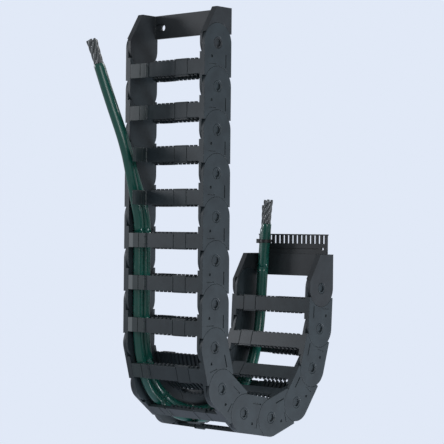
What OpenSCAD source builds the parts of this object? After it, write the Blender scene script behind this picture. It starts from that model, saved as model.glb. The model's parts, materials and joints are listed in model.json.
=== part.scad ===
// Cable drag chain with hinged cable gates, bolt-on end brackets and a strain-relief comb.
// Millimetres. The chain hangs from the upper bracket's two bolt holes, whose middle on the
// wall face is the origin. +X runs across the chain, +Y towards the wall, +Z up. The long run
// hangs straight down, turns below through a half circle and climbs to the lower bracket.
// Each link is drawn in its own frame: origin on the upper pivot, y towards the inside of the
// bend, z up, and the lower pivot one pitch below.

/* [Chain] */
// Distance between neighbouring pivots
pitch = 46; // [45.5:0.1:48]
// Height of a side plate, from the outside to the inside of the bend
plate_h = 42; // [41:0.25:42.5]
// Width over both side plates
chain_w = 117; // [110:1:130]
// Thickness of a side wall, both layers and the play between them
wall_t = 7; // [6.6:0.1:8]
// Largest angle between two links, set by the stops
bend_limit = 36; // [35:0.5:37]

/* [Pivots and stops] */
// Radius of the pivot pin moulded on each lower plate end
pin_r = 5.9; // [5:0.1:6.4]
// Radial play of a pin in its bore
pin_play = 0.08; // [0.05:0.01:0.1]
// Side play between the two overlapping plate layers
layer_play = 0.3; // [0.2:0.05:0.5]
// Play round the rim of an overlapping disc
rim_play = 0.35; // [0.3:0.05:0.6]
// Radius on which the stop lug runs in its slot
stop_r = 13.5; // [12.5:0.25:14]
// Radius of the stop lug
lug_r = 2.3; // [1.8:0.1:2.6]
// Height of the stop lug
lug_h = 1.7; // [1.2:0.1:1.9]
// Height above the next pivot at which the plate corners are cut off
corner_cut = 10.5; // [10:0.25:11.5]

/* [Crossbars] */
// Height of a crossbar along the chain
bar_h = 15.6; // [14:0.2:15.8]
// Thickness of a crossbar
bar_t = 3.5; // [3:0.1:4]
// Distance of a crossbar's middle below the link's upper pivot
bar_drop = 25.7; // [25.2:0.1:25.8]
// Spacing of the divider teeth on the inside of the crossbars
tooth_pitch = 6; // [5.5:0.5:8]
// Width of a divider tooth
tooth_w = 3; // [2.5:0.25:3.5]
// Depth of a divider tooth
tooth_t = 1.6; // [1.2:0.1:2]
// Length by which the teeth and thumb lips pass the edges of a crossbar
lip = 1.5; // [1:0.1:1.8]
// Length of the thumb lip
lip_w = 18; // [14:1:20]

/* [Cable gates] */
// Length of a gate from its hinge to its tip
gate_l = 25.2; // [22:0.2:27]
// Radius of the gate's hinge barrel
barrel_r = 1.6; // [1.5:0.05:1.8]
// Radius of the gate's hinge pin
gate_pin_r = 0.9; // [0.8:0.05:1]
// Rest angle of the two gates held open by the cables
gate_open = 108; // [80:1:130]

/* [Brackets] */
// Height of a bracket above its pivot
bracket_h = 38.5; // [37:0.5:42]
// Thickness of the back plate
back_t = 4; // [3.5:0.25:5]
// Distance between the two bolt holes
bolt_span = 81; // [76:1:84]
// Diameter of a bolt hole
bolt_d = 6.6; // [5.5:0.1:7]
// Height of the bolt holes above the pivot
bolt_z = 25; // [24:0.5:26]

/* [Strain relief] */
// Number of teeth of the comb
comb_teeth = 16; // [12:1:16]
// Spacing of the comb's teeth
comb_pitch = 6.6; // [6.2:0.1:6.7]
// Height of the comb's strip
strip_h = 12; // [11:0.5:14]
// Height of a comb tooth
comb_tooth_h = 11; // [9:0.5:13]
// Width of a comb tooth
comb_tooth_w = 3; // [2.6:0.1:3.4]
// Thickness of the comb
comb_t = 2.8; // [2.4:0.1:3]

/* [Cables] */
// Diameter of a cable
cable_d = 11; // [10:0.25:11]
// Length of a cable left out on each side of a pivot, where it bends
bend_gap = 2.4; // [2.3:0.1:4]
// Height of the first cable's sheath above the lower bracket's pivot
sheath_top = 73.5; // [66:0.5:76]
// Length of the stripped cores
core_l = 29; // [20:1:34]

/* [Hidden] */
// Links between the brackets, and the share of the bend limit taken at each pivot at rest
link_count = 14;
rest_bend = [0, 0, 0, 0, 0, 0, 0, 0.42, 1, 0.79, 0.76, 1, 0.57, 0.38, 0.08];
// Links whose gate the entering cables hold open, and the first link with the cables inside
open_gates = [3, 4];
first_cable_link = 5;

plate_r = plate_h / 2;
half_w = chain_w / 2;
clear_w = half_w - wall_t;
layer_t = (wall_t - layer_play) / 2;
bore_r = pin_r + pin_play;
// Gap left between two plate edges at the bend limit
stop_gap = 0.25;
// Depth by which a bar end is rooted in a side wall
root = 1;
// Play of hinge barrels and of seats
play = 0.3;
// Play round the tongues that locate the comb
seat_play = 0.05;
bar_in = plate_r - bar_t;
gate_x = -(clear_w - gate_l - play);
gate_y = -plate_r + 0.2;
ear_h = 3.6;
lug_angle = 90 + bend_limit / 2;
cable_r = cable_d / 2;
core_r = cable_d * 0.145;
eps = 0.01;
$fn = 64;

// Distance below its pivot at which the first enclosed cable piece starts, just above the gate
cable_drop = 17.4;
// Stations of both cables at the pivots from link 5 on: across the chain and inwards
lane_1 = [[-45.2, -11.8], [-45.2, -11.8], [-45.2, -11.8], [-44.5, -11.8], [-43, -11.8], [-39.5, -11],
    [-35.5, -9], [-33, -6.5], [-32.9, -4.4], [-34.1, -3.5], [-33.5, -3.7]];
lane_2 = [[-45.7, -0.4], [-45.7, -0.4], [-45.7, -0.4], [-45.7, -0.4], [-45.7, -0.2], [-45.7, 0],
    [-45.7, -2.5], [-45.4, -6.2], [-42, -11.1], [-42.4, -11.5], [-42, -11.2]];
// Tops of both sheaths in the lower bracket, seen from above: across and towards the wall
sheath_1 = [-27.5, 3.5];
sheath_2 = [-35.8, 11.2];
// Free cables, from the first enclosed piece out through the open gates to their bare ends,
// in the frame of the pivot above that piece
route_1 = [[-45.2, -11.8, -cable_drop], [-45.2, -11.8, -12], [-44.8, -12.7, -5], [-43.9, -15, 3],
    [-42.6, -18.7, 12], [-41.3, -22.6, 21], [-40.3, -26, 30], [-39.8, -29, 39],
    [-39.6, -31.7, 48], [-39.7, -34.1, 57], [-40.2, -36.4, 66], [-41.2, -38.8, 75],
    [-42.8, -41.3, 85], [-45.2, -44, 96], [-48, -46.6, 107], [-51, -49, 118], [-54, -51.2, 129],
    [-57, -53.4, 140], [-60.2, -55.6, 152], [-63.4, -57.8, 164]];
route_2 = [[-45.7, -0.4, -cable_drop], [-45.7, -0.4, -12], [-45.7, -1.1, -5], [-45.7, -2.9, 3],
    [-44.9, -6.2, 12], [-44.5, -10.1, 21], [-44.6, -14, 30], [-45.2, -17.6, 39],
    [-45.7, -20.8, 48], [-45.8, -23.8, 57], [-46.6, -26.6, 66], [-48, -29.3, 75],
    [-49.8, -32, 85], [-52.3, -34.7, 96], [-55.1, -37.3, 107], [-58.1, -39.7, 118],
    [-61.1, -42, 129], [-64.1, -44.2, 140], [-67.3, -46.4, 152], [-70.5, -48.6, 164]];

// Foot of a bracket's back plate, clear of the disc that turns below it
back_low = sqrt(pow(plate_r + rim_play, 2) - pow(plate_r - back_t, 2)) + 0.1;

// Comb in the lower bracket's top edge: its place, width and the tongues that locate it
comb_y = plate_r - back_t + 0.6;
comb_w = (comb_teeth - 1) * comb_pitch + comb_tooth_w;
comb_tongues = [-28, 0, 28];
tongue_w = 14;
tongue_h = 6;
tongue_t = 1.8;

// Feet of both cables just above the last pivot, and the middle of a cable at a height
foot_1 = [lane_1[10].x, -lane_1[10].y];
foot_2 = [lane_2[10].x, -lane_2[10].y];
function cable_at(foot, top, z) = foot + (top - foot) * (z - bend_gap) / (sheath_top - bend_gap);
// End of the second cable's sheath, a little lower than the first
end_2 = concat(cable_at(foot_2, sheath_2, sheath_top - 6), sheath_top - 6);
// Height of the cable tie, the cables inside it and the comb tooth it holds
tie_z = bracket_h + strip_h + 0.6;
tie_1 = cable_at(foot_1, sheath_1, tie_z);
tie_2 = cable_at(foot_2, sheath_2, tie_z);
tied_tooth = [-comb_w / 2 + 2 * comb_pitch + comb_tooth_w / 2, comb_y + comb_t];

function pad(n) = n < 10 ? str("0", n) : str(n);
// Turn of the chain from straight down just below pivot k
function heading(k) = k < 0 ? 0 : heading(k - 1) + rest_bend[k] * bend_limit;
// Pivot k in the frame of the top pivot: [y, z]
function pivot(k) = k == 0 ? [0, 0]
    : pivot(k - 1) + pitch * [sin(heading(k - 1)), -cos(heading(k - 1))];
function has(list, n) = len([for (v = list) if (v == n) v]) > 0;

// ---- placing and drawing helpers ----

// The frame of the top pivot, seen from the origin between the bolt holes
module at_top_pivot() translate([0, -plate_r, -bolt_z]) children();

// The frame of the link that hangs from pivot k
module at_pivot(k) at_top_pivot() translate([0, pivot(k).x, pivot(k).y])
    rotate([heading(k), 0, 0]) children();

// A profile drawn in y and z, extruded across the chain from x0 to x1
module across(x0, x1) translate([x0, 0, 0]) rotate([90, 0, 90])
    linear_extrude(x1 - x0) children();

// A disc or bore about an axis across the chain, from x0 to x1
module disc(x0, x1, r) translate([x0, 0, 0]) rotate([0, 90, 0]) cylinder(h = x1 - x0, r = r);

// The same thing on both sides of the chain
module both_sides() {
    children();
    mirror([1, 0, 0]) children();
}

// Children stand on point b, with their z axis leading on from point a
module beyond(a, b) {
    d = b - a;
    translate(b) rotate([0, acos(d.z / norm(d)), atan2(d.y, d.x)]) children();
}

// A round rod between two points
module rod(a, b, r) beyond(a, b) translate([0, 0, -norm(b - a)]) cylinder(h = norm(b - a), r = r);

// A closed tube along a route, its rings square to the route
module tube(route, r, sides = 12) {
    last = len(route) - 1;
    function along(i) = let (d = route[min(i + 1, last)] - route[max(i - 1, 0)]) d / norm(d);
    function side(i) = let (s = cross(along(i), [0, 1, 0])) s / norm(s);
    function ring(i) = [for (k = [0:sides - 1]) let (a = 360 * k / sides)
        route[i] + r * (cos(a) * side(i) + sin(a) * cross(side(i), along(i)))];
    points = [for (i = [0:last]) each ring(i)];
    skin = [for (i = [0:last - 1], k = [0:sides - 1]) let (n = (k + 1) % sides)
        [i * sides + k, i * sides + n, (i + 1) * sides + n, (i + 1) * sides + k]];
    polyhedron(points, concat([[for (k = [sides - 1:-1:0]) k]], skin,
        [[for (k = [0:sides - 1]) last * sides + k]]), convexity = 4);
}

// ---- side plates ----

// Room that a plate leaves round the pivot below it, for the next plate and its swing
module room_below() {
    circle(r = plate_r + rim_play);
    translate([-plate_h, -plate_h]) square([2 * plate_h, plate_h + corner_cut]);
    rotate(bend_limit) translate([-plate_h, -plate_h]) square([plate_h + plate_r + stop_gap, plate_h]);
}

// Outer layer: a disc over the upper pivot, hollowed to clear the next link's disc
module outer_layer() difference() {
    union() {
        circle(r = plate_r);
        translate([-plate_r, -pitch]) square([plate_h, pitch]);
    }
    translate([0, -pitch]) room_below();
}

// Inner layer: the same plate end for end, its disc on the lower pivot
module inner_layer() translate([0, -pitch]) mirror([0, 1]) outer_layer();

// Slot in the back of an outer disc, in which the lug of the link above travels
module stop_slot() {
    reach = bend_limit / 2 + asin((lug_r + stop_gap) / stop_r);
    intersection() {
        difference() {
            circle(r = stop_r + lug_r + stop_gap);
            circle(r = stop_r - lug_r - stop_gap);
        }
        polygon([[0, 0], for (s = [-1, 1]) plate_h * [sin(s * reach), cos(s * reach)]]);
    }
}

// What a plate end takes from the outer disc: the pin's bore with its chamfer and the stop slot
module disc_cuts() {
    disc(clear_w, half_w + 1, bore_r);
    translate([half_w - 0.7, 0, 0]) rotate([0, 90, 0])
        cylinder(h = 0.7 + eps, r1 = bore_r, r2 = bore_r + 0.7);
    across(half_w - layer_t - eps, half_w - layer_t + lug_h + play) stop_slot();
}

// What a plate end carries on its inner disc: the hollow pivot pin and the stop lug
module disc_pins() {
    difference() {
        disc(clear_w + layer_t - eps, half_w - play, pin_r);
        disc(half_w - 2.2, half_w, pin_r - 1.6);
        translate([half_w - 1.2, -0.6, -pin_r]) cube([1.2, 1.2, pin_r]);
    }
    across(clear_w + layer_t - eps, clear_w + layer_t + lug_h)
        rotate(lug_angle) translate([stop_r, 0]) circle(r = lug_r);
}

// Moulded recesses on the outside of a plate: latch pocket, tool slot and parting groove
module face_recesses() {
    translate([half_w - 1.4, -11, -16.2]) cube([2, 2.7, 2.7]);
    translate([half_w - 1.1, 11.8, -26]) cube([2, 1.3, 14]);
    translate([half_w - 0.7, -14, -23.2]) cube([2, 11, 0.8]);
}

// Right-hand side plate of a link
module side_plate() {
    difference() {
        union() {
            across(clear_w, clear_w + layer_t) inner_layer();
            across(half_w - layer_t, half_w) outer_layer();
            across(clear_w, half_w) intersection() {
                inner_layer();
                outer_layer();
            }
        }
        disc_cuts();
        face_recesses();
    }
    translate([0, 0, -pitch]) disc_pins();
}

// ---- crossbars and gates ----

// A row of divider teeth standing on the inside of a bar from x0 to x1
module divider_teeth(x0, x1) {
    count = floor((x1 - x0 - tooth_w) / tooth_pitch);
    for (k = [0:count]) translate([x0 + k * tooth_pitch, bar_in - tooth_t, -bar_h / 2 - lip])
        cube([tooth_w, tooth_t + 1, bar_h + 2 * lip]);
}

// Bar drawn on the inner-bend side, from x0 to x1, with a thumb lip and two parting grooves
module bar(x0, x1, lip_x) translate([0, 0, -bar_drop]) {
    difference() {
        translate([x0, bar_in, -bar_h / 2]) cube([x1 - x0, bar_t, bar_h]);
        for (x = [lip_x - lip_w, lip_x]) translate([x - 0.5, plate_r - 0.6, -bar_h / 2 - 1])
            cube([1, 1, bar_h + 2]);
    }
    translate([lip_x - lip_w, bar_in, -bar_h / 2 - lip]) cube([lip_w, bar_t - 0.6, bar_h + 2 * lip]);
}

// Fixed crossbar on the inside of the bend
module inner_bar() {
    bar(-clear_w - root, clear_w + root, -22);
    translate([0, 0, -bar_drop]) divider_teeth(-clear_w + 3, clear_w - 3);
}

// Cantilevered crossbar on the outside of the bend, ending in two hinge ears for its gate
module outer_bar() difference() {
    union() {
        mirror([0, 1, 0]) {
            difference() {
                bar(gate_x + eps, clear_w + root, 34);
                translate([gate_x, -gate_y, -bar_drop - bar_h / 2 + ear_h])
                    cylinder(h = bar_h - 2 * ear_h, r = barrel_r + play);
            }
            translate([0, 0, -bar_drop]) divider_teeth(gate_x + 8, clear_w - 3);
        }
        for (s = [-1, 1]) translate([gate_x, gate_y, -bar_drop + s * (bar_h - ear_h) / 2]) {
            cylinder(h = ear_h, r = barrel_r, center = true);
            translate([0, -0.1, -ear_h / 2]) cube([barrel_r + 1, 1.6, ear_h]);
        }
    }
    translate([gate_x, gate_y, -bar_drop])
        cylinder(h = bar_h + 1, r = gate_pin_r + pin_play, center = true);
}

// One link: two side plates joined by the inner bar, with the outer bar on the right plate and
// a rest for the gate's tip on the left one
module link(i) color("#3a3f45") at_pivot(i - 1) {
    both_sides() side_plate();
    inner_bar();
    outer_bar();
    translate([-clear_w - root, -bar_in + play, -bar_drop - bar_h / 4])
        cube([root + 1.1, 2.2, bar_h / 2]);
}

// Gate of link i, drawn closed about its hinge: flap, grooved tip and barrel with its pin
module gate(i) color("#464b4c") at_pivot(i - 1) translate([gate_x, gate_y, -bar_drop])
    rotate([0, 0, has(open_gates, i) ? gate_open : 0]) {
        barrel_h = bar_h - 2 * ear_h - 2 * play;
        difference() {
            union() {
                translate([-gate_l, -plate_r - gate_y, -bar_h / 2]) cube([gate_l, bar_t, bar_h]);
                cylinder(h = barrel_h, r = barrel_r, center = true);
            }
            for (s = [-1, 1]) translate([0, 0, s * (bar_h / 2 - ear_h / 2)])
                cylinder(h = ear_h + 2 * play, r = barrel_r + play, center = true);
            translate([-barrel_r - play, -bar_t, -bar_h]) cube([bar_t, 2 * bar_t, bar_h - barrel_h / 2]);
            translate([-barrel_r - play, -bar_t, barrel_h / 2]) cube([bar_t, 2 * bar_t, bar_h]);
            translate([-gate_l * 0.43, -plate_r - gate_y - 1, -bar_h]) cube([1, 1.6, 2 * bar_h]);
        }
        cylinder(h = bar_h - 2 * play, r = gate_pin_r, center = true);
    }

// ---- brackets ----

// Bracket cheek above a pivot, its slanted edge on the side that faces away from the wall
module cheek() polygon([[-plate_r, 0], [-plate_r, 8], [-2.5, bracket_h], [plate_r, bracket_h],
    [plate_r, 0]]);

// Back plate with its two bolt holes, each in a shallow oblong washer seat
module back_plate() difference() {
    translate([-clear_w - root, plate_r - back_t, back_low])
        cube([2 * (clear_w + root), back_t, bracket_h - back_low]);
    both_sides() {
        translate([bolt_span / 2, 0, bolt_z]) rotate([-90, 0, 0]) cylinder(h = plate_h, r = bolt_d / 2);
        translate([bolt_span / 2, plate_r - back_t + 1.4, bolt_z]) rotate([90, 0, 0]) {
            cylinder(h = 3, r = bolt_d / 2 + 1);
            translate([6.5, 0, 0]) cylinder(h = 3, r = bolt_d / 2 + 1);
            translate([0, -bolt_d / 2 - 1, 0]) cube([6.5, bolt_d + 2, 3]);
        }
    }
}

// Upper bracket: cheeks whose inner discs carry the first link
module top_bracket() color("#34383d") at_top_pivot() {
    both_sides() {
        across(clear_w, clear_w + layer_t) union() {
            circle(r = plate_r);
            cheek();
        }
        across(clear_w, half_w) difference() {
            cheek();
            room_below();
        }
        disc_pins();
    }
    back_plate();
}

// Lower bracket: cheeks whose outer discs hang on the last link's pins
module lower_bracket() color("#3a3f45") at_lower_pivot() difference() {
    union() {
        both_sides() difference() {
            union() {
                across(half_w - layer_t, half_w) union() {
                    circle(r = plate_r);
                    cheek();
                }
                across(clear_w, half_w) difference() {
                    cheek();
                    mirror([1, 0]) room_below();
                }
            }
            mirror([0, 0, 1]) mirror([0, 1, 0]) disc_cuts();
        }
        back_plate();
    }
    for (x = comb_tongues) translate([x - tongue_w / 2 - seat_play, comb_y - seat_play, bracket_h - tongue_h - 1])
        cube([tongue_w + 2 * seat_play, tongue_t + 2 * seat_play, tongue_h + 2]);
}

// The lower bracket stands upright over the last pivot
module at_lower_pivot() at_top_pivot() translate([0, pivot(link_count).x, pivot(link_count).y]) children();

// ---- strain relief, tie and cables ----

// Comb plugged into the top edge of the lower bracket, with T-headed teeth to tie cables to
module comb() color("#30343a") at_lower_pivot() translate([0, comb_y, bracket_h]) {
    difference() {
        translate([-comb_w / 2, 0, seat_play]) cube([comb_w, comb_t, strip_h]);
        both_sides() translate([comb_w / 2 - 6, -1, strip_h / 2]) rotate([-90, 0, 0])
            cylinder(h = comb_t + 2, r = 1.9);
        translate([-comb_w / 2 + 12, -1, strip_h / 2 - 0.5]) cube([comb_w - 24, 1.5, 1]);
    }
    for (x = comb_tongues) translate([x - tongue_w / 2, 0, -tongue_h]) cube([tongue_w, tongue_t, tongue_h + 1]);
    for (k = [0:comb_teeth - 1]) translate([-comb_w / 2 + k * comb_pitch, 0, strip_h]) {
        cube([comb_tooth_w, comb_t, comb_tooth_h]);
        translate([-0.9, 0, comb_tooth_h - 1.4]) cube([comb_tooth_w + 1.8, comb_t, 1.4]);
    }
}

// Outline round both cables and the tied tooth of the comb, grown by a distance
module tie_loop(grow) {
    hull() {
        translate(tie_1) circle(r = cable_r + grow, $fn = 32);
        translate(tie_2) circle(r = cable_r + grow, $fn = 32);
        translate([tied_tooth.x, comb_y - 2]) square([comb_tooth_w + 2 * grow, 0.2], center = true);
    }
    translate([tied_tooth.x - comb_tooth_w / 2 - grow, comb_y - 2.1])
        square([comb_tooth_w + 2 * grow, comb_t + 2.1 + grow]);
}

// Cable tie: a flat band, its locking head and the cut end
module cable_tie() color("#202326") at_lower_pivot() translate([0, 0, tie_z]) {
    linear_extrude(3.6) difference() {
        tie_loop(1.4);
        tie_loop(0.3);
    }
    translate([tie_1.x - cable_r - 5.2, tie_1.y - 4, -0.7]) cube([4.4, 4.4, 5]);
}

// Pieces of both cables inside link i, ending clear of its pivots
module cables(i) color("#1f6b52") at_pivot(i - 1) for (lane = [lane_1, lane_2]) {
    k = i - first_cable_link;
    start = k == 0 ? cable_drop : bend_gap;
    rod([lane[k].x, lane[k].y, -start], [lane[k + 1].x, lane[k + 1].y, bend_gap - pitch], cable_r);
}

// Ends of both cables standing in the lower bracket
module cable_ends() color("#1f6b52") at_lower_pivot() {
    rod(concat(foot_1, bend_gap), concat(sheath_1, sheath_top), cable_r);
    rod(concat(foot_2, bend_gap), end_2, cable_r);
}

// Seven bare cores standing out of a sheath's end
module core_bundle() translate([0, 0, play]) {
    cylinder(h = core_l, r = core_r);
    for (a = [0:60:300]) rotate(a) translate([2 * core_r + 0.05, 0, 0])
        cylinder(h = core_l - 1, r = core_r);
}

// Bare cores of both cable ends in the lower bracket
module cores() color("#9a9a96") at_lower_pivot() {
    beyond(concat(foot_1, bend_gap), concat(sheath_1, sheath_top)) core_bundle();
    beyond(concat(foot_2, bend_gap), end_2) core_bundle();
}

// Free stretch of a cable, from the gates to its far end, and the cores at that end
module cord(route) color("#1f6b52") at_pivot(first_cable_link - 1) tube(route, cable_r);
module cord_cores(route) color("#9a9a96") at_pivot(first_cable_link - 1)
    beyond(route[len(route) - 2], route[len(route) - 1]) core_bundle();

top_bracket();
for (i = [1:link_count]) link(i);
for (i = [1:link_count]) gate(i);
for (i = [first_cable_link:link_count]) cables(i);
cable_ends();
cores();
cord(route_1);  // cord_1
cord(route_2);  // cord_2
cord_cores(route_1);  // cord_cores_1
cord_cores(route_2);  // cord_cores_2
lower_bracket();
comb();
cable_tie();
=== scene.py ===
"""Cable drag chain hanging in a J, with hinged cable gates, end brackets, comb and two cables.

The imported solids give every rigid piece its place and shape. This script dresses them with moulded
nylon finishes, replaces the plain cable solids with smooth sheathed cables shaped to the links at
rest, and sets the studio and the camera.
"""

import json
import logging
import math
from dataclasses import dataclass, field
from enum import Enum

import bmesh
import bpy
from mathutils import Matrix, Vector


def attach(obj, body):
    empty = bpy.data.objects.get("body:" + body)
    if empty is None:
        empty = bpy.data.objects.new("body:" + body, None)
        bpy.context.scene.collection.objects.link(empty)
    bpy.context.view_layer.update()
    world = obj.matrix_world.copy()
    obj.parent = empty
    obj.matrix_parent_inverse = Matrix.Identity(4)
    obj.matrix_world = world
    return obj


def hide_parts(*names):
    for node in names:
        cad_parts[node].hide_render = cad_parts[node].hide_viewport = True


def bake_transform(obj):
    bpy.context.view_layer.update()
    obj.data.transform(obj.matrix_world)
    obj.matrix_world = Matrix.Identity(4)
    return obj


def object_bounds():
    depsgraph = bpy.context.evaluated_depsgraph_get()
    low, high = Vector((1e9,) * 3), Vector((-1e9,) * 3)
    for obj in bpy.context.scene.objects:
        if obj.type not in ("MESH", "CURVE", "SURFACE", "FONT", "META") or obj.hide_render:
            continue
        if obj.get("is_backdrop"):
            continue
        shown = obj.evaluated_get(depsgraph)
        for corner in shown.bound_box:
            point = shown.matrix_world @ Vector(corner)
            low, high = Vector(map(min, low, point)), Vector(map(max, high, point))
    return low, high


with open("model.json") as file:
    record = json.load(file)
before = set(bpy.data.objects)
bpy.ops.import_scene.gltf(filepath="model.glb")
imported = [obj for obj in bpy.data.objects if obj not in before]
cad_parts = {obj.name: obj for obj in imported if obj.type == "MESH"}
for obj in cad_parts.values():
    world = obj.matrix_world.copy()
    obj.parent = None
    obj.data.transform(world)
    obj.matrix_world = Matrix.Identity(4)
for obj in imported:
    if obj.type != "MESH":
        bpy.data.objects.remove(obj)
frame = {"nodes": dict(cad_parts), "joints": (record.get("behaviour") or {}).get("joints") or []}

LOG = logging.getLogger("drag_chain")
MM = 0.001


# ---- colours and nodes ----


def linear(hex_colour: str) -> tuple[float, float, float, float]:
    """Turn an sRGB hex colour into linear RGBA.

    Args:
        hex_colour: Six hex digits with a leading hash.

    Returns:
        Linear red, green, blue and an alpha of 1.
    """
    parts = [int(hex_colour[i : i + 2], 16) / 255 for i in (1, 3, 5)]
    r, g, b = (v / 12.92 if v <= 0.04045 else ((v + 0.055) / 1.055) ** 2.4 for v in parts)
    return (r, g, b, 1.0)


def add_node(
    tree: bpy.types.NodeTree,
    kind: str,
    settings: dict[str, object] | None = None,
    links: dict[str, bpy.types.NodeSocket] | None = None,
) -> bpy.types.Node:
    """Add one node with its settings and links.

    Args:
        tree: The node tree that takes the node.
        kind: Blender's node type name.
        settings: Attributes of the node, or values of its inputs by name.
        links: Output sockets by the name of the input that they feed.

    Returns:
        The new node.
    """
    node = tree.nodes.new(kind)
    for name, value in (settings or {}).items():
        if name in node.inputs.keys():
            node.inputs[name].default_value = value
        else:
            setattr(node, name, value)
    for name, source in (links or {}).items():
        tree.links.new(source, node.inputs[name])
    return node


def new_material(name: str) -> tuple[bpy.types.Material, bpy.types.NodeTree, bpy.types.Node]:
    """Make a material with a bare Principled shader.

    Args:
        name: Name of the real material.

    Returns:
        The material, its node tree and its Principled shader.
    """
    material = bpy.data.materials.new(name)
    material.use_nodes = True
    tree = material.node_tree
    tree.nodes.clear()
    shader = add_node(tree, "ShaderNodeBsdfPrincipled")
    output = add_node(tree, "ShaderNodeOutputMaterial")
    tree.links.new(shader.outputs["BSDF"], output.inputs["Surface"])
    return material, tree, shader


@dataclass(frozen=True)
class MouldedNylon:
    """Glass-filled polyamide, injection moulded: a dull sheen over a fine, mottled grain."""

    name: str
    colour: str
    mottle_and_painted_highlight: str
    roughness: float = 0.5
    grain_mm: float = 0.9
    mottle_mm: float = 14.0
    edge_mm: float = 0.6
    # The next three fields paint a highlight: pale colour left of an X line, with a soft border
    painted_highlight_edge_mm: float = -90.0
    painted_highlight_colour: str = "#6a7172"
    painted_highlight_blur_mm: float = 0.4
    grain_bump: float = 0.12
    rough_spread: float = 0.07

    def build(self) -> bpy.types.Material:
        """Make the material with mottled colour, a painted highlight left of an X line, grain and
        softly lit moulded edges.
        """
        material, tree, shader = new_material(self.name)
        where = add_node(tree, "ShaderNodeTexCoord").outputs["Object"]
        # Flow marks of the melt: broad, faint changes of shade
        mottle = add_node(
            tree,
            "ShaderNodeTexNoise",
            {"Scale": 1 / (self.mottle_mm * MM), "Detail": 3.0, "Roughness": 0.55},
            {"Vector": where},
        )
        shade = add_node(
            tree,
            "ShaderNodeMapRange",
            {"From Min": 0.35, "From Max": 0.65, "To Min": 0.0, "To Max": 1.0},
            {"Value": mottle.outputs["Fac"]},
        )
        base = add_node(
            tree,
            "ShaderNodeMix",
            {"data_type": "RGBA"},
            {"Factor": shade.outputs["Result"]},
        )
        base.inputs[6].default_value = linear(self.colour)
        base.inputs[7].default_value = linear(self.mottle_and_painted_highlight)
        # Painted highlight: left of a line across the part the colour is painted pale, standing in
        # for the lit face of the opened gate tip
        place = add_node(tree, "ShaderNodeSeparateXYZ", {}, {"Vector": where})
        mottle_and_painted_highlight = add_node(
            tree,
            "ShaderNodeMapRange",
            {
                "From Min": (self.painted_highlight_edge_mm + self.painted_highlight_blur_mm) * MM,
                "From Max": (self.painted_highlight_edge_mm - self.painted_highlight_blur_mm) * MM,
                "To Min": 0.0,
                "To Max": 1.0,
            },
            {"Value": place.outputs["X"]},
        )
        painted_highlight_mix = add_node(
            tree,
            "ShaderNodeMix",
            {"data_type": "RGBA"},
            {"Factor": mottle_and_painted_highlight.outputs["Result"]},
        )
        tree.links.new(base.outputs[2], painted_highlight_mix.inputs[6])
        painted_highlight_mix.inputs[7].default_value = linear(self.painted_highlight_colour)
        tree.links.new(painted_highlight_mix.outputs[2], shader.inputs["Base Color"])
        # Spark-eroded grain of the mould, about a millimetre so that it shows
        grain = add_node(
            tree,
            "ShaderNodeTexNoise",
            {"Scale": 1 / (self.grain_mm * MM), "Detail": 2.0, "Roughness": 0.6},
            {"Vector": where},
        )
        rough = add_node(
            tree,
            "ShaderNodeMapRange",
            {
                "From Min": 0.3,
                "From Max": 0.7,
                "To Min": self.roughness - self.rough_spread,
                "To Max": self.roughness + self.rough_spread,
            },
            {"Value": grain.outputs["Fac"]},
        )
        tree.links.new(rough.outputs["Result"], shader.inputs["Roughness"])
        # The small radius that every moulded edge has, which catches the light
        edge = add_node(tree, "ShaderNodeBevel", {"samples": 4, "Radius": self.edge_mm * MM})
        bump = add_node(
            tree,
            "ShaderNodeBump",
            {"Strength": self.grain_bump, "Distance": self.grain_bump * MM},
            {"Height": grain.outputs["Fac"], "Normal": edge.outputs["Normal"]},
        )
        tree.links.new(bump.outputs["Normal"], shader.inputs["Normal"])
        shader.inputs["Specular IOR Level"].default_value = 0.5
        return material


@dataclass(frozen=True)
class ExtrudedSheath:
    """Extruded polyurethane cable sheath: smooth and glossy, with a faint ripple in shade."""

    name: str
    colour: str
    shade: str
    roughness: float = 0.24
    ripple_mm: float = 5.0

    def build(self) -> bpy.types.Material:
        """Make the material with a slow change of shade and a faint ripple."""
        material, tree, shader = new_material(self.name)
        where = add_node(tree, "ShaderNodeTexCoord").outputs["Object"]
        ripple = add_node(
            tree,
            "ShaderNodeTexNoise",
            {"Scale": 1 / (self.ripple_mm * MM), "Detail": 2.0, "Roughness": 0.5},
            {"Vector": where},
        )
        base = add_node(
            tree, "ShaderNodeMix", {"data_type": "RGBA"}, {"Factor": ripple.outputs["Fac"]}
        )
        base.inputs[6].default_value = linear(self.colour)
        base.inputs[7].default_value = linear(self.shade)
        tree.links.new(base.outputs[2], shader.inputs["Base Color"])
        bump = add_node(
            tree,
            "ShaderNodeBump",
            {"Strength": 0.1, "Distance": 0.2 * MM},
            {"Height": ripple.outputs["Fac"]},
        )
        tree.links.new(bump.outputs["Normal"], shader.inputs["Normal"])
        shader.inputs["Roughness"].default_value = self.roughness
        shader.inputs["Coat Weight"].default_value = 0.35
        shader.inputs["Coat Roughness"].default_value = 0.12
        return material


class Finish(Enum):
    """The finishes of the chain's pieces."""

    LINK = MouldedNylon("glass_filled_polyamide_link", "#273035", "#2e383d", 0.42)
    GATE = MouldedNylon("glass_filled_polyamide_gate", "#283436", "#2f3b3d", 0.46)
    # Gates whose tips are painted pale left of X = -45 mm, a painted highlight
    GATE_PAINTED_HIGHLIGHT = MouldedNylon(
        "glass_filled_polyamide_gate_painted_highlight", "#283436", "#2f3b3d", 0.46, painted_highlight_edge_mm=-45.0
    )
    BRACKET = MouldedNylon("glass_filled_polyamide_bracket", "#252a2e", "#2c3236", 0.46)
    COMB = MouldedNylon("polyamide_comb", "#212629", "#282d31", 0.48, 0.7)
    TIE = MouldedNylon("black_nylon_tie", "#1c1e20", "#242628", 0.36, 0.6)
    SHEATH = ExtrudedSheath("green_polyurethane_sheath", "#14594e", "#104b41")
    CORE = ExtrudedSheath("grey_pvc_core_insulation", "#53585a", "#606566", 0.42, 3.0)


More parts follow.
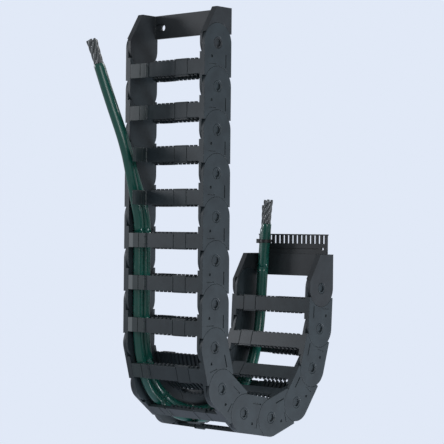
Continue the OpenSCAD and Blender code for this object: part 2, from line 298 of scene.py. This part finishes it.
class Finishes:
    """Makes each finish once and hands it out."""

    def __init__(self) -> None:
        """Start with no finish made."""
        self.made: dict[Finish, bpy.types.Material] = {}

    def get(self, finish: Finish) -> bpy.types.Material:
        """Return the finish's material, made on first use."""
        if finish not in self.made:
            self.made[finish] = finish.value.build()
        return self.made[finish]

    def dress(self, obj: bpy.types.Object, finish: Finish) -> None:
        """Put one finish on every slot of an object."""
        material = self.get(finish)
        if not obj.material_slots:
            obj.data.materials.append(material)
        for slot in obj.material_slots:
            slot.material = material


# ---- curves and tubes ----


def smooth_route(points: list[Vector], step: float) -> list[Vector]:
    """Lay a Catmull-Rom curve through points and sample it.

    Args:
        points: Points that the curve passes through.
        step: Wanted distance between samples, in metres.

    Returns:
        The samples, ends included.
    """
    ends = [points[0] * 2 - points[1], *points, points[-1] * 2 - points[-2]]
    out: list[Vector] = []
    for a, b, c, d in zip(ends, ends[1:], ends[2:], ends[3:]):
        count = max(1, round((c - b).length / step))
        for i in range(count):
            t = i / count
            out.append(
                0.5
                * (
                    b * 2
                    + (c - a) * t
                    + (a * 2 - b * 5 + c * 4 - d) * t * t
                    + (b * 3 - a - c * 3 + d) * t**3
                )
            )
    out.append(points[-1].copy())
    return out


def ring_frames(route: list[Vector]) -> list[tuple[Vector, Vector, Vector]]:
    """Carry two side vectors along a route without twist.

    Args:
        route: Points of the route.

    Returns:
        For each point, the direction of the route and two vectors across it.
    """
    frames = []
    across = None
    last = len(route) - 1
    for i in range(len(route)):
        along = (route[min(i + 1, last)] - route[max(i - 1, 0)]).normalized()
        if across is None:
            across = along.orthogonal().normalized()
        across = (across - along * across.dot(along)).normalized()
        frames.append((along, across, along.cross(across)))
    return frames


def tube_mesh(
    name: str,
    route: list[Vector],
    radii: list[float],
    sides: int = 24,
) -> bpy.types.Object:
    """Sweep a closed round tube along a route.

    Args:
        name: Name of the new object.
        route: Points of the centreline, in metres.
        radii: Radius at each point.
        sides: Corners of each ring.

    Returns:
        The tube, with smooth sides and flat ends.
    """
    mesh = bpy.data.meshes.new(name)
    work = bmesh.new()
    rings = []
    for point, radius, (_, u, v) in zip(route, radii, ring_frames(route)):
        rings.append(
            [
                work.verts.new(point + (u * math.cos(a) + v * math.sin(a)) * radius)
                for a in (2 * math.pi * k / sides for k in range(sides))
            ]
        )
    for low, high in zip(rings, rings[1:]):
        for k in range(sides):
            face = work.faces.new((low[k], low[(k + 1) % sides], high[(k + 1) % sides], high[k]))
            face.smooth = True
    work.faces.new(list(reversed(rings[0])))
    work.faces.new(rings[-1])
    bmesh.ops.recalc_face_normals(work, faces=work.faces)
    work.to_mesh(mesh)
    work.free()
    obj = bpy.data.objects.new(name, mesh)
    bpy.context.scene.collection.objects.link(obj)
    return obj


def rounded_end(
    route: list[Vector], radius: float, edge: float
) -> tuple[list[Vector], list[float]]:
    """Give a route's last ring a small turned edge.

    Args:
        route: Points of the centreline.
        radius: Radius of the tube.
        edge: Radius of the turned edge.

    Returns:
        The longer route and the radius at each of its points.
    """
    along = (route[-1] - route[-2]).normalized()
    tip = route[-1]
    route = [*route[:-1], tip - along * edge, tip - along * edge * 0.3, tip]
    radii = [radius] * (len(route) - 2) + [radius - edge * 0.3, radius - edge]
    return route, radii


# ---- the chain's geometry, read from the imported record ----


@dataclass
class ChainLine:
    """Pivots of the chain at rest and the frame of each link."""

    pivots: list[Vector] = field(default_factory=list)

    @classmethod
    def from_record(cls, joints: list[dict]) -> "ChainLine":
        """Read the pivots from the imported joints, in order."""
        named = sorted((j["name"], j["pos_m"]) for j in joints if j["name"].startswith("pivot_"))
        return cls([Vector(p) for _, p in named])

    def link_matrix(self, link: int) -> Matrix:
        """Return the frame of a link: origin on its upper pivot, z up the link, y into the bend.

        Args:
            link: Number of the link, 1 at the top. One more than the last link is the lower
                bracket, whose frame stays upright.

        Returns:
            The link's frame in the row frame.
        """
        top = self.pivots[link - 1]
        if link >= len(self.pivots):
            return Matrix.Translation(top)
        up = (top - self.pivots[link]).normalized()
        across = Vector((1, 0, 0))
        inward = up.cross(across)
        turn = Matrix((across, inward, up)).transposed().to_4x4()
        return Matrix.Translation(top) @ turn

    def body(self, link: int) -> str:
        """Return the CAD body of a link or, past the last one, of the lower bracket."""
        return f"link_{link:02d}_body" if link < len(self.pivots) else "lower_bracket_body"


# ---- cables ----


@dataclass
class CableRun:
    """One sheathed cable: its free stretch, its way through the links and its end at the comb."""

    name: str
    cord_node: str
    cores_node: str
    lanes_mm: list[tuple[float, float]]
    route_mm: list[tuple[float, float, float]]
    top_mm: tuple[float, float, float]
    diameter_mm: float = 11.0
    pitch_mm: float = 46.0
    first_link: int = 5
    start_drop_mm: float = 17.4
    bend_gap_mm: float = 2.4
    core_length_mm: float = 29.0
    core_lay_mm: float = 52.0
    fillet_mm: float = 15.0
    ring_step_mm: float = 4.0
    free_step_mm: float = 4.5
    cut_edge_mm: float = 0.8
    core_cut_edge_mm: float = 0.35
    core_share: float = 0.145
    core_spread: float = 0.28
    core_sunk_mm: float = 0.5
    bracket_bend_mm: float = 20.0
    short_strands_mm: tuple[float, ...] = (0.0, 1.5, 4.0, 0.6, 2.8, 5.0, 1.2)

    @property
    def radius(self) -> float:
        """Radius of the sheath in metres."""
        return self.diameter_mm * MM / 2

    def free_stretch(self, line: ChainLine) -> list[Vector]:
        """Return the free stretch's centreline in the row frame."""
        place = line.link_matrix(self.first_link)
        points = [place @ (Vector(p) * MM) for p in self.route_mm]
        return smooth_route(points, self.free_step_mm * MM)

    def straights(self, line: ChainLine) -> list[tuple[Vector, Vector]]:
        """Return the enclosed cable's straight stretches, from link to link into the bracket."""
        out = []
        last = len(line.pivots) - 1
        for k, link in enumerate(range(self.first_link, last + 1)):
            place = line.link_matrix(link)
            drop = self.start_drop_mm if k == 0 else self.bend_gap_mm
            start = Vector((*self.lanes_mm[k], -drop)) * MM
            end = Vector((*self.lanes_mm[k + 1], self.bend_gap_mm - self.pitch_mm)) * MM
            out.append((place @ start, place @ end))
        place = line.link_matrix(last + 1)
        foot = Vector((self.lanes_mm[-1][0], -self.lanes_mm[-1][1], self.bend_gap_mm)) * MM
        out.append((place @ foot, place @ (Vector(self.top_mm) * MM)))
        return out

    def bend(self, a: tuple[Vector, Vector], b: tuple[Vector, Vector]) -> list[Vector]:
        """Join two straight stretches by a smooth curve.

        Args:
            a: Ends of the stretch before the pivot.
            b: Ends of the stretch after it.

        Returns:
            Points from a fillet's length before the pivot to as far after it.
        """
        da, db = (a[1] - a[0]).normalized(), (b[1] - b[0]).normalized()
        p = a[1] - da * (self.fillet_mm * MM)
        q = b[0] + db * (self.fillet_mm * MM)
        reach = (q - p).length
        out = []
        for i in range(17):
            t = i / 16
            out.append(
                p * (2 * t**3 - 3 * t**2 + 1)
                + da * reach * (t**3 - 2 * t**2 + t)
                + q * (3 * t**2 - 2 * t**3)
                + db * reach * (t**3 - t**2)
            )
        return out

    def steps_between(self, a: Vector, b: Vector) -> int:
        """Return how many rings a straight stretch takes."""
        return max(1, round((b - a).length / (self.ring_step_mm * MM)))

    def build(self, line: ChainLine, finishes: Finishes) -> None:
        """Build the free stretch, the pieces that bend at each pivot and the end at the comb."""
        self.build_free_stretch(line, finishes)
        straights = self.straights(line)
        middles = [(a + b) / 2 for a, b in straights]
        foot, top = straights[-1]
        middles[-1] = foot + (top - foot).normalized() * (self.bracket_bend_mm * MM)
        for i in range(len(straights) - 1):
            link = self.first_link + i
            curve = self.bend(straights[i], straights[i + 1])
            start = straights[0][0] if i == 0 else middles[i]
            steps = self.steps_between(start, curve[0])
            head = [start.lerp(curve[0], s / steps) for s in range(steps)]
            end = middles[i + 1]
            steps = self.steps_between(curve[-1], end)
            tail = [curve[-1].lerp(end, s / steps) for s in range(1, steps + 1)]
            route = head + curve + tail
            piece = tube_mesh(f"{self.name}_in_link_{link:02d}", route, [self.radius] * len(route))
            finishes.dress(piece, Finish.SHEATH)
            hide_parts(f"cables_{link:02d}")
            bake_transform(piece)
            LOG.info("%s: %d rings", piece.name, len(route))
        self.build_end(line, finishes, middles[-1], top)

    def build_free_stretch(self, line: ChainLine, finishes: Finishes) -> None:
        """Build the free stretch outside the gates with its bare cores."""
        centre = self.free_stretch(line)
        route, radii = rounded_end(centre, self.radius, self.cut_edge_mm * MM)
        cord = tube_mesh(f"{self.name}_free", route, radii)
        finishes.dress(cord, Finish.SHEATH)
        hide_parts(self.cord_node)
        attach(cord, line.body(self.first_link))
        cores = self.build_cores(centre[-2], centre[-1], f"{self.name}_free_cores", finishes)
        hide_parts(self.cores_node)
        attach(cores, line.body(self.first_link))

    def build_end(self, line: ChainLine, finishes: Finishes, start: Vector, top: Vector) -> None:
        """Build the end of the cable that stands in the lower bracket."""
        steps = 12
        straight = [start.lerp(top, i / steps) for i in range(steps + 1)]
        route, radii = rounded_end(straight, self.radius, self.cut_edge_mm * MM)
        end = tube_mesh(f"{self.name}_end", route, radii)
        finishes.dress(end, Finish.SHEATH)
        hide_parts("cable_ends")
        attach(end, line.body(len(line.pivots)))
        cores = self.build_cores(straight[-2], top, f"{self.name}_end_cores", finishes)
        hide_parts("cores")
        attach(cores, line.body(len(line.pivots)))

    def build_cores(
        self, before: Vector, tip: Vector, name: str, finishes: Finishes
    ) -> bpy.types.Object:
        """Build seven twisted cores that stand out of the sheath.

        Args:
            before: A point on the centreline before the sheath's end.
            tip: Centre of the sheath's end.
            name: Name of the new object.
            finishes: The finishes.

        Returns:
            The bundle as one object.
        """
        along = (tip - before).normalized()
        u = along.orthogonal().normalized()
        v = along.cross(u)
        core_r = self.diameter_mm * self.core_share * MM
        length = self.core_length_mm * MM
        objects = []
        for strand, short in enumerate(self.short_strands_mm):
            off = 0.0 if strand == 0 else 2 * core_r
            reach = length - short * MM
            route = []
            for i in range(25):
                s = reach * i / 24
                spread = off * (1 + self.core_spread * (s / length) ** 2)
                angle = 2 * math.pi * (s / (self.core_lay_mm * MM) + strand / 6)
                centre = tip + along * (s - self.core_sunk_mm * MM)
                route.append(centre + (u * math.cos(angle) + v * math.sin(angle)) * spread)
            route, radii = rounded_end(route, core_r, self.core_cut_edge_mm * MM)
            objects.append(tube_mesh(f"{name}_{strand}", route, radii, 14))
        first = objects[0]
        with bpy.context.temp_override(
            active_object=first, selected_editable_objects=objects, selected_objects=objects
        ):
            bpy.ops.object.join()
        first.name = name
        first.data.name = name
        finishes.dress(first, Finish.CORE)
        return first


# ---- moulded pieces ----


@dataclass
class MouldedPieces:
    """The links, gates, brackets and comb, whose solids come from the CAD model."""

    finishes: Finishes

    def finish_of(self, node: str) -> Finish | None:
        """Return the finish of a CAD node, or None where a new piece replaces it."""
        if node.startswith("link_"):
            return Finish.LINK
        # Gates 5 to 7 carry the painted highlight on their tips
        if node in ("gate_05", "gate_06", "gate_07"):
            return Finish.GATE_PAINTED_HIGHLIGHT
        if node.startswith("gate_"):
            return Finish.GATE
        if node in ("top_bracket", "lower_bracket"):
            return Finish.BRACKET
        if node == "comb":
            return Finish.COMB
        if node == "cable_tie":
            return Finish.TIE
        return None

    def build(self, nodes: dict[str, bpy.types.Object]) -> None:
        """Dress every moulded CAD node."""
        for name, obj in sorted(nodes.items()):
            finish = self.finish_of(name)
            if finish is None:
                continue
            self.finishes.dress(obj, finish)
            LOG.info("%s: %s", name, finish.value.name)


# ---- studio ----


@dataclass(frozen=True)
class Lamp:
    """One soft square lamp: its place and side in metres, its power in watts, its sRGB colour."""

    name: str
    place: tuple[float, float, float]
    size: float
    power: float
    colour: str

    def build(self, target: tuple[float, float, float]) -> None:
        """Hang the lamp so that it faces a point.

        Args:
            target: The point that it faces, in metres.
        """
        data = bpy.data.lights.new(self.name, "AREA")
        data.shape = "SQUARE"
        data.size = self.size
        data.energy = self.power
        data.color = linear(self.colour)[:3]
        lamp = bpy.data.objects.new(self.name, data)
        bpy.context.scene.collection.objects.link(lamp)
        lamp.location = self.place
        aim = Vector(target) - Vector(self.place)
        lamp.rotation_mode = "QUATERNION"
        lamp.rotation_quaternion = aim.to_track_quat("-Z", "Y")


@dataclass
class Studio:
    """Pale floor, soft lamps, background and camera."""

    backdrop: str = "#e1e9f7"
    world_strength: float = 0.38
    azimuth_deg: float = 41.90
    elevation_deg: float = -0.21
    roll_deg: float = 0.576
    eye_mm: tuple[float, float, float] = (1159.5, -1239.3, -220.4)
    lens_mm: float = 126.2
    sensor_mm: float = 36.0
    ambient: str = "#eef1f8"
    floor_radius: float = 0.6
    floor_drop: float = 0.35
    middle: tuple[float, float, float] = (0.0, 0.05, -0.22)
    lamps: tuple[Lamp, ...] = (
        Lamp("key_lamp", (1.5, -0.9, 0.3), 0.9, 7.0, "#ffffff"),
        Lamp("left_lamp", (-1.5, -0.7, 0.1), 0.4, 9.0, "#f6f8ff"),
        Lamp("right_lamp", (1.4, 0.5, -1.0), 0.7, 19.0, "#f4f7ff"),
        Lamp("back_lamp", (-0.3, 1.6, 0.9), 0.9, 8.0, "#ffffff"),
    )

    def build_camera(self) -> None:
        """Place the camera level with the chain's middle, in front of its right-hand plates."""
        data = bpy.data.cameras.new("studio_camera")
        data.lens = self.lens_mm
        data.sensor_width = self.sensor_mm
        data.clip_start = 0.05
        data.clip_end = 50.0
        camera = bpy.data.objects.new("studio_camera", data)
        bpy.context.scene.collection.objects.link(camera)
        a, e, r = (math.radians(v) for v in (self.azimuth_deg, self.elevation_deg, self.roll_deg))
        back = Vector((math.sin(a) * math.cos(e), -math.cos(a) * math.cos(e), math.sin(e)))
        right = Vector((math.cos(a), math.sin(a), 0.0))
        up = back.cross(right)
        side = right * math.cos(r) + up * math.sin(r)
        top = up * math.cos(r) - right * math.sin(r)
        turn = Matrix((side, top, back)).transposed()
        camera.matrix_world = Matrix.Translation(Vector(self.eye_mm) * MM) @ turn.to_4x4()
        bpy.context.scene.camera = camera

    def build_world(self) -> None:
        """Light the scene softly from all round, and show the pale backdrop to the camera."""
        world = bpy.data.worlds.new("studio_world")
        bpy.context.scene.world = world
        world.use_nodes = True
        tree = world.node_tree
        tree.nodes.clear()
        path = add_node(tree, "ShaderNodeLightPath")
        seen = add_node(tree, "ShaderNodeMath", {"operation": "MAXIMUM"})
        tree.links.new(path.outputs["Is Camera Ray"], seen.inputs[0])
        tree.links.new(path.outputs["Is Transmission Ray"], seen.inputs[1])
        soft = add_node(
            tree,
            "ShaderNodeBackground",
            {"Color": linear(self.ambient), "Strength": self.world_strength},
        )
        shown = add_node(
            tree,
            "ShaderNodeBackground",
            {"Color": linear(self.backdrop), "Strength": 1.0},
        )
        mix = add_node(tree, "ShaderNodeMixShader", {}, {"Fac": seen.outputs[0]})
        tree.links.new(soft.outputs[0], mix.inputs[1])
        tree.links.new(shown.outputs[0], mix.inputs[2])
        output = add_node(tree, "ShaderNodeOutputWorld")
        tree.links.new(mix.outputs[0], output.inputs["Surface"])

    def build_floor(self) -> None:
        """Lay a plain pale floor below the hanging chain."""
        low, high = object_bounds()
        mesh = bpy.data.meshes.new("studio_floor")
        work = bmesh.new()
        bmesh.ops.create_circle(work, cap_ends=True, radius=self.floor_radius, segments=64)
        work.to_mesh(mesh)
        work.free()
        floor = bpy.data.objects.new("studio_floor", mesh)
        bpy.context.scene.collection.objects.link(floor)
        floor.location = ((low.x + high.x) / 2, (low.y + high.y) / 2, low.z - self.floor_drop)
        material, _, shader = new_material("pale_painted_floor")
        shader.inputs["Base Color"].default_value = linear(self.backdrop)
        shader.inputs["Roughness"].default_value = 0.8
        mesh.materials.append(material)
        floor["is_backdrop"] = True

    def build(self) -> None:
        """Set up world, lamps and floor."""
        self.build_world()
        for lamp in self.lamps:
            lamp.build(self.middle)
        self.build_floor()
        settings = bpy.context.scene.view_settings
        settings.view_transform = "Standard"


# ---- the whole ----


# Across and into the bend, the place of each cable at each pivot, in millimetres
LANE_1 = [
    (-45.2, -11.8), (-45.2, -11.8), (-45.2, -11.8), (-44.5, -11.8), (-43, -11.8), (-39.5, -11),
    (-35.5, -9), (-33, -6.5), (-32.9, -4.4), (-34.1, -3.5), (-33.5, -3.7),
]
LANE_2 = [
    (-45.7, -0.4), (-45.7, -0.4), (-45.7, -0.4), (-45.7, -0.4), (-45.7, -0.2), (-45.7, 0),
    (-45.7, -2.5), (-45.4, -6.2), (-42, -11.1), (-42.4, -11.5), (-42, -11.2),
]
# The free stretches in the frame of the first cable link's upper pivot, in millimetres
ROUTE_1 = [
    (-45.2, -11.8, -17.4), (-45.2, -11.8, -12), (-44.8, -12.7, -5), (-43.9, -15, 3),
    (-42.6, -18.7, 12), (-41.3, -22.6, 21), (-40.3, -26, 30), (-39.8, -29, 39),
    (-39.6, -31.7, 48), (-39.7, -34.1, 57), (-40.2, -36.4, 66), (-41.2, -38.8, 75),
    (-42.8, -41.3, 85), (-45.2, -44, 96), (-48, -46.6, 107), (-51, -49, 118), (-54, -51.2, 129),
    (-57, -53.4, 140), (-60.2, -55.6, 152), (-63.4, -57.8, 164),
]
ROUTE_2 = [
    (-45.7, -0.4, -17.4), (-45.7, -0.4, -12), (-45.7, -1.1, -5), (-45.7, -2.9, 3),
    (-44.9, -6.2, 12), (-44.5, -10.1, 21), (-44.6, -14, 30), (-45.2, -17.6, 39),
    (-45.7, -20.8, 48), (-45.8, -23.8, 57), (-46.6, -26.6, 66), (-48, -29.3, 75),
    (-49.8, -32, 85), (-52.3, -34.7, 96), (-55.1, -37.3, 107), (-58.1, -39.7, 118),
    (-61.1, -42, 129), (-64.1, -44.2, 140), (-67.3, -46.4, 152), (-70.5, -48.6, 164),
]
# Where each sheath ends above the last pivot
TOP_1 = (-27.5, 3.5, 73.5)
TOP_2 = (-36.323, 10.72, 67.5)


def main() -> None:
    """Build the camera, the cables, the moulded pieces and the studio."""
    logging.basicConfig(level=logging.INFO, format="%(name)s %(message)s")
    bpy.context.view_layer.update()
    studio = Studio()
    studio.build_camera()
    line = ChainLine.from_record(frame["joints"])
    finishes = Finishes()
    first = CableRun("cable_1", "cord_1", "cord_cores_1", LANE_1, ROUTE_1, TOP_1)
    second = CableRun("cable_2", "cord_2", "cord_cores_2", LANE_2, ROUTE_2, TOP_2)
    for run in (first, second):
        run.build(line, finishes)
    MouldedPieces(finishes).build(frame["nodes"])
    studio.build()


if __name__ == "__main__":
    main()
